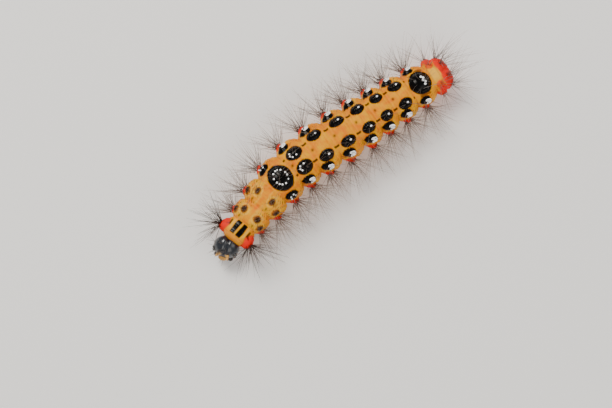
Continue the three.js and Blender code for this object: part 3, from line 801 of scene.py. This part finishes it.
class Coat:
    """Hairs gathered into one mesh, with their patches on the skin's unwrap.

    A hair's root is sunk in the wart by ROOT_DEPTH and its middle line stays FLOOR_GAP over the floor,
    both in millimetres. It bends by about the share BEND of its length.
    """
    RINGS, SIDES = 7, 3
    ROOT_DEPTH, FLOOR_GAP, BEND = 0.18, 0.15, 0.12

    def __init__(self, root_radius):
        self.radius = root_radius
        self.verts, self.tips, self.dark, self.patch = [], [], [], []

    def hair(self, seat, direction, length, droop, dark=0.0, thick=1.0):
        """One hair from a seat, bent a little at random and kept off the floor."""
        t = np.linspace(0, 1, self.RINGS)
        side = unit(np.array([-direction[1], direction[0], 0.02]))
        third = np.cross(side, direction)
        bend = rng.normal(0, self.BEND, 2) * length
        root = seat["point"] - direction * self.ROOT_DEPTH
        path = root + np.outer(t * (length + self.ROOT_DEPTH), direction)
        path += np.outer(t ** 2, side * bend[0] + third * bend[1]) - np.outer(t ** 2, [0, 0, droop])
        path[:, 2] = np.maximum(path[:, 2], self.FLOOR_GAP)
        r = self.radius * thick * (1 - 0.8 * t ** 1.4)
        turn = TURN * np.arange(self.SIDES) / self.SIDES
        around = np.cos(turn)[:, None] * side + np.sin(turn)[:, None] * third
        self.verts.append((path[:, None, :] + r[:, None, None] * around).reshape(-1, 3))
        self.tips.append(np.repeat(t, self.SIDES))
        self.dark.append(np.full(self.RINGS * self.SIDES, dark))
        u = seat["s"] / BODY_END * 0.9 + 0.05
        v = (seat["angle"] / TURN + 0.5) * 0.9 + 0.05
        across = np.tile(np.arange(self.SIDES) / (self.SIDES - 1) - 0.5, self.RINGS)
        place = np.stack([u + PATCH * across, v + PATCH * (np.repeat(t, self.SIDES) - 0.5)], -1)
        self.patch.append(place + rng.normal(0, PATCH, 2))

    def build(self, name):
        """All hairs as one closed mesh, with the shares that its finish goes by and a map of their patches
        on the skin's unwrap.
        """
        per, n = self.RINGS * self.SIDES, len(self.verts)
        one = []
        for a in range(self.RINGS - 1):
            for b in range(self.SIDES):
                c = (b + 1) % self.SIDES
                low, high = a * self.SIDES, (a + 1) * self.SIDES
                one.append((low + b, high + b, high + c, low + c))
        last = (self.RINGS - 1) * self.SIDES
        caps = [(0, 1, 2), (last + 2, last + 1, last)]
        faces = [tuple(v + k * per for v in f) for k in range(n) for f in one + caps]
        obj = mesh_object(name, np.vstack(self.verts), faces)
        store(obj.data, "hair_tip", np.concatenate(self.tips))
        store(obj.data, "hair_dark", np.concatenate(self.dark))
        layer = obj.data.uv_layers.new(name="OFBake")
        corners = np.empty(len(obj.data.loops), np.int32)
        obj.data.loops.foreach_get("vertex_index", corners)
        layer.data.foreach_set("uv", np.clip(np.vstack(self.patch), 0, 1)[corners].ravel())
        return obj


def fan(coat, seat, count, length, spread, sweep, rise, droop=0.5, dark=0.0, thick=1.0):
    """A tuft that fans out of one wart, as the bundles of the solids do. length is its longest hair's."""
    for k in range(count):
        turn = math.radians(-sweep + 2 * sweep * (k + rng.uniform(0, 1)) / count)
        lift = math.radians(rng.uniform(*rise))
        upwards = -math.sin(lift) * seat["side"]
        direction = unit(seat["out"] * math.cos(turn) * math.cos(lift) + seat["along"] * math.sin(turn)
                         + seat["across"] * upwards)
        beside = spread * (0.5 * upwards + rng.uniform(-0.6, 0.6))
        root = lifted(seat, beside, spread * (0.5 * math.sin(turn) + rng.uniform(-0.6, 0.6)), -0.12)
        own_length = length * rng.uniform(SHORTEST, 1.0) ** 0.8
        coat.hair(root, direction, own_length, droop * rng.uniform(0, 1), dark, thick)


# How the hairs of each kind of wart fan out: their number, the width that they stand on, the sweep
# along the body and the rise in degrees, how far they droop in millimetres, and how dark and thick they are
TUFTS = {
    "side": {"count": 38, "spread": 0.66, "sweep": 52, "rise": (-30, 48)},
    "outer": {"count": 8, "spread": 0.3, "sweep": 45, "rise": (-15, 35), "droop": 0.2, "dark": 0.3},
    "dull": {"count": 8, "spread": 0.3, "sweep": 45, "rise": (-15, 35), "droop": 0.2, "dark": 0.3},
    "low": {"count": 10, "spread": 0.35, "sweep": 45, "rise": (0, 34), "droop": 0.0, "thick": 0.9},
    "pair": {"count": 7, "spread": 0.38, "sweep": 42, "rise": (-22, 22), "droop": 0.0, "dark": 0.5},
    "middle": {"count": 16, "spread": 0.7, "sweep": 52, "rise": (-44, 44), "droop": 0.0, "dark": 0.5},
    "shoulder": {"count": 54, "spread": 0.45, "sweep": 64, "rise": (-34, 52), "droop": 0.7, "dark": 0.75,
                 "thick": 1.15},
    "ninth": {"count": 10, "spread": 0.22, "sweep": 40, "rise": (-20, 30)},
    "tail": {"count": 24, "spread": 0.4, "sweep": 48, "rise": (-25, 40), "thick": 0.9},
}
LOW_HAIR = 2.4
NINTH_SHARE = 0.85
COATS = {"pair": "hair_back", "middle": "hair_back", "shoulder": "hair_shoulders", "ninth": "hair_tail",
         "tail": "hair_tail"}


class LARVA_OT_coat(bpy.types.Operator):
    """Fans of hairs on every wart, in one piece for each region"""
    bl_idname = "larva.coat"
    bl_label = "Hairs"

    def execute(self, context):
        sizes, colours = context.scene.larva_sizes, context.scene.larva_colours
        longest = {"side": sizes.side_hair / MM, "outer": sizes.outer_hair / MM,
                   "dull": sizes.outer_hair / MM, "low": LOW_HAIR, "pair": sizes.back_hair / MM,
                   "middle": sizes.back_hair / MM, "shoulder": sizes.shoulder_hair / MM,
                   "ninth": sizes.tail_hair / MM * NINTH_SHARE, "tail": sizes.tail_hair / MM}
        coats = {name: Coat(sizes.hair_root / MM) for name in
                 ("hair_side_left", "hair_side_right", "hair_back", "hair_shoulders", "hair_tail")}
        for kind, i, seat, _, _, rise in WARTS:
            if kind == "spot":
                kind = "pair" if SPOTS[i][2] else "middle"
            side = "hair_side_left" if seat["side"] > 0 else "hair_side_right"
            coat = coats[COATS.get(kind, side)]
            fan(coat, lifted(seat, out=rise * 0.75), length=longest[kind], **TUFTS[kind])
        material = hair_material(colours)
        for name, coat in coats.items():
            dressed(coat.build(name), material)
        return {"FINISHED"}


# The head's place along the body and height, its turn to the side and its nod in degrees, and half sizes
HEAD_S, HEAD_Z, HEAD_YAW, HEAD_TILT = 1.55, 2.25, 18, -42
HEAD_HALF = np.array([1.42, 1.05, 1.36])


def head_matrix():
    """The head's turn and place in the body's own frame."""
    centre, along = (v[0] for v in section(HEAD_S)[:2])
    yaw = math.atan2(-along[0], along[1]) + math.radians(HEAD_YAW)
    tilt = math.radians(HEAD_TILT)
    turn = np.array([[math.cos(yaw), -math.sin(yaw), 0], [math.sin(yaw), math.cos(yaw), 0], [0, 0, 1]])
    tip = np.array([[1, 0, 0], [0, math.cos(tilt), -math.sin(tilt)], [0, math.sin(tilt), math.cos(tilt)]])
    return turn @ tip, np.array([centre[0], centre[1], HEAD_Z])


HEAD_TURN, HEAD_PLACE = head_matrix()
SEAM_VALLEYS = ((0.13, 0.16), (0.05, 0.04))  # depth and half width, one inside the other
PLATE_SPREAD, PLATE_TOP, PLATE_DEPTH, PLATE_EDGE = 0.42, 0.25, 0.035, 0.045
JAW_TAPER = 0.16
HEAD_HAIRS, HEAD_HAIR_RADIUS = 34, 0.03


def head_seat(x, y, z, sink=0.0):
    """A seat on the head's surface in the direction given, in the head's own frame."""
    d = unit(np.array([x, y, z], float))
    reach = 1 / np.linalg.norm(d / HEAD_HALF)
    out = unit(d / HEAD_HALF ** 2)
    across = -unit(np.cross([0, 0, 1.0], out))
    return {"point": HEAD_PLACE + HEAD_TURN @ (d * reach - out * sink), "across": HEAD_TURN @ across,
            "along": HEAD_TURN @ np.cross(out, across), "out": HEAD_TURN @ out, "side": 1}


def shape_head(head):
    """Moves a unit sphere's vertices to two lobes with a seam, and grooves beside the mouth's plate."""
    x, y, z = coordinates(head.data).T
    top = smooth(z, -0.35, 0.3)
    seam = sum(depth * top * np.exp(-(x / half) ** 2) for depth, half in SEAM_VALLEYS)
    from_plate = np.abs(x) - PLATE_SPREAD * np.clip(PLATE_TOP - z, 0, 1.2)
    groove = PLATE_DEPTH * np.exp(-(from_plate / PLATE_EDGE) ** 2) * (y < 0) * smooth(-z, -0.25, 0.0)
    jaw = np.where(z < 0, 1 + JAW_TAPER * z, 1)
    shrink = 1 - seam - groove
    own = np.stack([x * HEAD_HALF[0] * shrink * jaw, y * HEAD_HALF[1] * shrink,
                    z * HEAD_HALF[2] * shrink], -1)
    place_vertices(head, HEAD_PLACE + own @ HEAD_TURN.T)
    line = np.exp(-((from_plate - 0.02) / 0.05) ** 2) * (y < 0) * smooth(-z, 0.05, 0.3)
    store(head.data, "cream", 0.75 * line)


def head_hairs():
    """Short single hairs, most of them on the face."""
    coat = Coat(HEAD_HAIR_RADIUS)
    for _ in range(HEAD_HAIRS):
        direction = unit(rng.normal(0, 1, 3) * [1, 1, 0.8] + [0, -0.9, 0.2])
        seat = {**head_seat(*direction), "s": HEAD_S, "angle": rng.uniform(-1, 1)}
        coat.hair(seat, unit(seat["out"] + rng.normal(0, 0.25, 3)), rng.uniform(0.5, 1.3), 0.1, 0.5)
    return coat.build("head_hairs")


def ellipsoid(name, seat, half, segments=24, rings=16):
    """A rounded body set on a seat, half sizes across, along and outwards."""
    obj = primitive(bpy.ops.mesh.primitive_uv_sphere_add, name, segments=segments, ring_count=rings,
                    radius=1)
    p = coordinates(obj.data)
    place_vertices(obj, seat["point"] + p[:, :1] * half[0] * seat["across"]
                   + p[:, 1:2] * half[1] * seat["along"] + p[:, 2:] * half[2] * seat["out"])
    return obj


def tube(name, path, radius, around=20):
    """A closed tube along a path of points with a radius at each."""
    path = np.asarray(path, float)
    along = unit(np.gradient(path, axis=0))
    side = unit(np.cross([0, 0.02, 1.0], along))
    third = np.cross(side, along)
    turn = TURN * np.arange(around) / around
    ring = np.cos(turn)[None, :, None] * side[:, None] - np.sin(turn)[None, :, None] * third[:, None]
    verts = (path[:, None] + ring * np.asarray(radius)[:, None, None]).reshape(-1, 3)
    faces = []
    for a in range(len(path) - 1):
        for b in range(around):
            c = (b + 1) % around
            faces.append((a * around + b, (a + 1) * around + b, (a + 1) * around + c, a * around + c))
    faces.append(tuple(range(around)))
    faces.append(tuple((len(path) - 1) * around + b for b in reversed(range(around))))
    obj = mesh_object(name, verts, faces)
    bpy.ops.object.select_all(action="DESELECT")
    obj.select_set(True)
    bpy.context.view_layer.objects.active = obj
    bpy.ops.object.mode_set(mode="EDIT")
    bpy.ops.mesh.select_all(action="SELECT")
    bpy.ops.mesh.normals_make_consistent(inside=False)
    bpy.ops.object.mode_set(mode="OBJECT")
    return obj


class LARVA_OT_head(bpy.types.Operator):
    """Head capsule of two lobes with a seam between them and a plate over the mouth"""
    bl_idname = "larva.head"
    bl_label = "Head"

    def execute(self, context):
        colours = context.scene.larva_colours
        head = primitive(bpy.ops.mesh.primitive_uv_sphere_add, "head_capsule", segments=96, ring_count=72,
                         radius=1)
        shape_head(head)
        dressed(head, horn_material(colours), ["head"])
        dressed(head_hairs(), hair_material(colours))
        return {"FINISHED"}


# Places are directions from the head's middle: across, backwards and up. Halves are half sizes
LIP_PLACE, LIP_HALF = (0, -0.62, -0.8), (0.48, 0.3, 0.3)
JAW_PLACE, JAW_HALF = (0.68, -0.16, -0.98), (0.32, 0.3, 0.34)
FEELER_PLACE = (0.5, -0.95, -0.34)
EYES_PLACE, EYE_PATCH_HALF, EYE_HALF = (0.98, -0.42, -0.22), (0.26, 0.4, 0.22), (0.08, 0.08, 0.1)
# The feeler steps down in thickness at each joint: places along it and radii
FEELER_JOINTS = ([0, 0.42, 0.47, 0.76, 0.82, 0.97, 1], [0.19, 0.17, 0.13, 0.12, 0.07, 0.05, 0.02])
# Knees of a true leg: outwards, forwards and height over the floor
LEG_KNEES = np.array([[0.55, 0, 1.5], [1.15, 0.1, 0.95], [1.45, 0.35, 0.5], [1.25, 0.6, 0.02]])
LEG_RADIUS, LEG_TAPER, LEG_SWELL = 0.4, 0.26, 0.06


class LARVA_OT_mouth(bpy.types.Operator):
    """Upper lip, jaws and feelers"""
    bl_idname = "larva.mouth"
    bl_label = "Mouth and feelers"

    def execute(self, context):
        colours = context.scene.larva_colours
        # Thin amber horn, a little cloudy, and the darker smooth horn of the jaws
        amber = plain_material("amber_horn", colours.amber, 0.35, 0.1, 0.01)
        dark = plain_material("jaw_horn", colours.leg, 0.25)
        lip = ellipsoid("labrum", head_seat(*LIP_PLACE), LIP_HALF)
        dressed(lip, amber, ["labrum"])
        for name, sign in SIDES:
            x, y, z = JAW_PLACE
            jaw = ellipsoid("mandible_" + name, head_seat(x * sign, y, z), JAW_HALF)
            dressed(jaw, dark, ["mandible_" + name])
            x, y, z = FEELER_PLACE
            seat = head_seat(x * sign, y, z)
            start = lifted(seat, out=-0.25)["point"]
            tip = lifted(seat, along=-0.12, out=0.66)["point"]
            t = np.linspace(0, 1, 17)
            feeler = tube("antenna_" + name, start + np.outer(t, tip - start), np.interp(t, *FEELER_JOINTS))
            dressed(feeler, amber, ["antenna_" + name])
        return {"FINISHED"}


class LARVA_OT_eyes(bpy.types.Operator):
    """Six tiny glossy eyes on a dark patch at each side of the face"""
    bl_idname = "larva.eyes"
    bl_label = "Eyes"

    def execute(self, context):
        # Clear lenses over dark horn, which catch one sharp light each
        gloss = plain_material("eye_lens", context.scene.larva_colours.black, 0.06, coat=1.0)
        for name, sign in SIDES:
            x, y, z = EYES_PLACE
            seat = head_seat(x * sign, y, z, 0.08)
            pieces = [ellipsoid("patch", seat, EYE_PATCH_HALF)]
            for k in range(6):
                turn = math.radians(-130 + 52 * k)
                place = lifted(seat, 0.13 * math.cos(turn) * sign, 0.24 * math.sin(turn), 0.14)
                pieces.append(ellipsoid("eye", place, EYE_HALF, 16, 12))
            dressed(joined("stemmata_" + name, pieces), gloss, ["stemmata_" + name])
        return {"FINISHED"}


class LARVA_OT_legs(bpy.types.Operator):
    """Six jointed true legs"""
    bl_idname = "larva.legs"
    bl_label = "True legs"

    def execute(self, context):
        # Dark brown horn, finely pitted, with a soft shine
        horn = plain_material("leg_horn", context.scene.larva_colours.leg, 0.28, 0.08, 0.008)
        for i in (THORAX_1, THORAX_2, THORAX_3):
            centre, along, left = (v[0] for v in section(MIDDLES[i])[:3])
            for name, sign in SIDES:
                t = np.linspace(0, 1, 25)
                reach = np.linspace(0, 1, len(LEG_KNEES))
                out, forward, z = (np.interp(t, reach, knees) for knees in LEG_KNEES.T)
                path = np.array([centre[0], centre[1], 0]) + np.outer(out * sign, left)
                path -= np.outer(forward, along)
                path[:, 2] = z
                radius = LEG_RADIUS - LEG_TAPER * t + LEG_SWELL * np.cos(t * 6 * math.pi)
                path[:, 2] = np.maximum(path[:, 2], radius * 0.7 * (t > 0.8))
                leg = tube("leg_%d_%s" % (i + 1, name), path, radius)
                points = coordinates(leg.data)
                points[:, 2] = np.maximum(points[:, 2], 0)
                leg.data.vertices.foreach_set("co", points.ravel())
                dressed(leg, horn, ["leg_%d_%s" % (i + 1, name)])
        return {"FINISHED"}


# The camera looks down on the back, leaning a little, turned so that the larva lies as in the photograph
PICTURE_UP = Vector((-0.7486, 0.6633, 0))
PICTURE_RIGHT = Vector((0.6633, 0.7486, 0))
PICTURE_MIDDLE = np.array([3.14, -4.68, 4.2])  # in the body's own frame, in millimetres
CAMERA_AWAY, CAMERA_LEAN, CAMERA_LENS = 0.181, 9, 100
FLOOR_SIZE, FLOOR_DROP = 1.2, 0.00002
# Lamps: metres to the picture's right, up it and over the larva, then size in metres and power in watts
LAMPS = (("key", -0.12, 0.16, 0.30, 0.14, 1.15), ("fill", 0.25, -0.05, 0.22, 0.2, 0.24),
         ("front", 0.02, -0.25, 0.2, 0.2, 0.28))
LAMP_COLOUR, SKY_COLOUR, SKY_STRENGTH = "#fffaf1", "#ffffff", 0.38


def add_lights(context, middle):
    """Three soft lamps round the larva and an even pale sky."""
    for name, rightwards, upwards, height, size, power in LAMPS:
        data = bpy.data.lights.new(name, "AREA")
        data.size = size
        data.energy = power
        data.color = linear(LAMP_COLOUR)[:3]
        lamp = bpy.data.objects.new(name, data)
        aside = rightwards * PICTURE_RIGHT + upwards * PICTURE_UP
        lamp.location = middle + aside + Vector((0, 0, height))
        lamp.rotation_euler = (middle - lamp.location).to_track_quat("-Z", "Y").to_euler()
        context.collection.objects.link(lamp)
    world = bpy.data.worlds.new("studio")
    world.use_nodes = True
    sky = world.node_tree.nodes["Background"]
    sky.inputs["Color"].default_value = linear(SKY_COLOUR)
    sky.inputs["Strength"].default_value = SKY_STRENGTH
    context.scene.world = world


def add_camera(context, middle):
    """A long lens over the back, as in the photograph."""
    camera = bpy.data.objects.new("camera", bpy.data.cameras.new("camera"))
    camera.data.lens = CAMERA_LENS
    camera.data.clip_start = 0.01
    lean = math.radians(CAMERA_LEAN)
    camera.location = middle + CAMERA_AWAY * (Vector((0, 0, math.cos(lean))) - PICTURE_UP * math.sin(lean))
    camera.rotation_euler = (middle - camera.location).to_track_quat("-Z", "Y").to_euler()
    context.collection.objects.link(camera)
    context.scene.camera = camera


class LARVA_OT_stage(bpy.types.Operator):
    """Pale floor, soft studio light and the camera over the back"""
    bl_idname = "larva.stage"
    bl_label = "Stage"

    def execute(self, context):
        floor = primitive(bpy.ops.mesh.primitive_plane_add, "floor", size=FLOOR_SIZE)
        floor.location.z = -FLOOR_DROP
        # Matt white card, which keeps the shadow soft and the ground even
        floor.data.materials.append(plain_material("pale_paper", linear("#ffffff"), 0.8))
        middle = Vector(to_row(PICTURE_MIDDLE))
        add_lights(context, middle)
        add_camera(context, middle)
        return {"FINISHED"}


STEPS = (LARVA_OT_skin, LARVA_OT_points, LARVA_OT_coat, LARVA_OT_head, LARVA_OT_mouth, LARVA_OT_eyes,
         LARVA_OT_legs, LARVA_OT_stage)


class LARVA_PT_panel(bpy.types.Panel):
    """Steps of the larva's looks"""
    bl_idname = "LARVA_PT_panel"
    bl_label = "Hairy moth larva"
    bl_space_type = "VIEW_3D"
    bl_region_type = "UI"
    bl_category = "Larva"

    def draw(self, context):
        for step in STEPS:
            self.layout.operator(step.bl_idname)
        for group in (context.scene.larva_sizes, context.scene.larva_colours):
            for key in group.bl_rna.properties.keys():
                if key not in ("rna_type", "name"):
                    self.layout.prop(group, key)


CLASSES = (LarvaSizes, LarvaColours) + STEPS + (LARVA_PT_panel,)


def register():
    for item in CLASSES:
        bpy.utils.register_class(item)
    bpy.types.Scene.larva_sizes = PointerProperty(type=LarvaSizes)
    bpy.types.Scene.larva_colours = PointerProperty(type=LarvaColours)


def unregister():
    del bpy.types.Scene.larva_colours
    del bpy.types.Scene.larva_sizes
    for item in reversed(CLASSES):
        bpy.utils.unregister_class(item)


def main():
    register()
    for step in STEPS:
        group, name = step.bl_idname.split(".")
        getattr(getattr(bpy.ops, group), name)()


if __name__ == "__main__":
    main()
